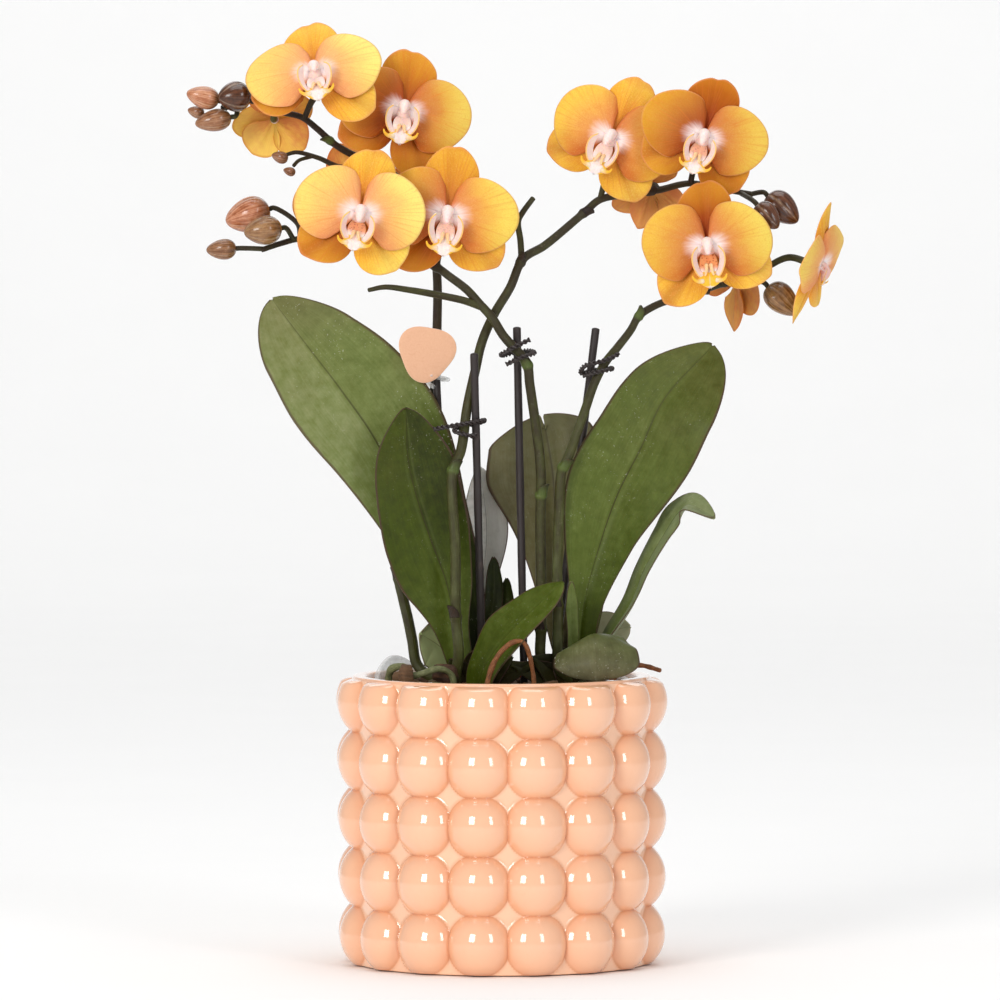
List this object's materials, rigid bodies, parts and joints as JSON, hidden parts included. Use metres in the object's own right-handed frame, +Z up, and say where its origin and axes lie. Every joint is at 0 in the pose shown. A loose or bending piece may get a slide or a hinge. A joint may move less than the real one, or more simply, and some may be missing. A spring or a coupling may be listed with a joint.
{
  "type": "potted moth orchid",
  "caption": "Potted moth orchid with several arching spikes of orange-yellow flowers and buds, strap-shaped leaves and a beaded glazed cachepot.",
  "frame": {"origin": "middle of the cachepot's flat underside, which rests on the table", "axes": "+Z up; the flowers face -Y, the front; +X to the right seen from the front"},
  "size_m": [0.2435, 0.1224, 0.3476],
  "materials": {
    "cachepot": "gloss",
    "clear_plastic": "clear",
    "stem": "satin",
    "stick": "stained",
    "root": "matt",
    "bark": "rough",
    "tie": "satin",
    "tag": "matt",
    "leaf": "satin",
    "petal": "velvety",
    "bud": "satin"
  },
  "bodies": {
    "root": {"cachepot": "cachepot", "nursery_pot": "clear_plastic", "crown_left": "stem", "crown_right": "stem", "support_stick_1": "stick", "support_stick_2": "stick", "support_stick_3": "stick", "support_stick_4": "stick", "aerial_root_front": "root", "aerial_root_right": "root", "aerial_root_left": "root", "bark_chip_1": "bark", "bark_chip_2": "bark", "bark_chip_3": "bark", "bark_chip_4": "bark", "flower_spike_1": "stem", "flower_spike_2": "stem", "flower_spike_3": "stem", "flower_spike_4": "stem", "potting_bark": "bark", "twist_tie_1": "tie", "twist_tie_2": "tie", "twist_tie_3": "tie", "tag_clip": "clear_plastic", "plant_tag": "tag", "leaf_1": "leaf", "leaf_2": "leaf", "leaf_3": "leaf", "leaf_4": "leaf", "leaf_5": "leaf", "leaf_6": "leaf", "leaf_7": "leaf", "leaf_8": "leaf", "leaf_9": "leaf", "leaf_10": "leaf", "leaf_11": "leaf", "leaf_12": "leaf", "leaf_13": "leaf", "leaf_14": "leaf", "flower_1": "petal", "flower_2": "petal", "flower_3": "petal", "flower_4": "petal", "flower_5": "petal", "flower_6": "petal", "flower_7": "petal", "flower_8": "petal", "flower_9": "petal", "flower_10": "petal", "flower_11": "petal", "flower_12": "petal", "bud_1": "bud", "bud_2": "bud", "bud_3": "bud", "bud_4": "bud", "bud_5": "bud", "bud_6": "bud", "bud_7": "bud", "bud_8": "bud", "bud_9": "bud"}
  },
  "joints": []
}
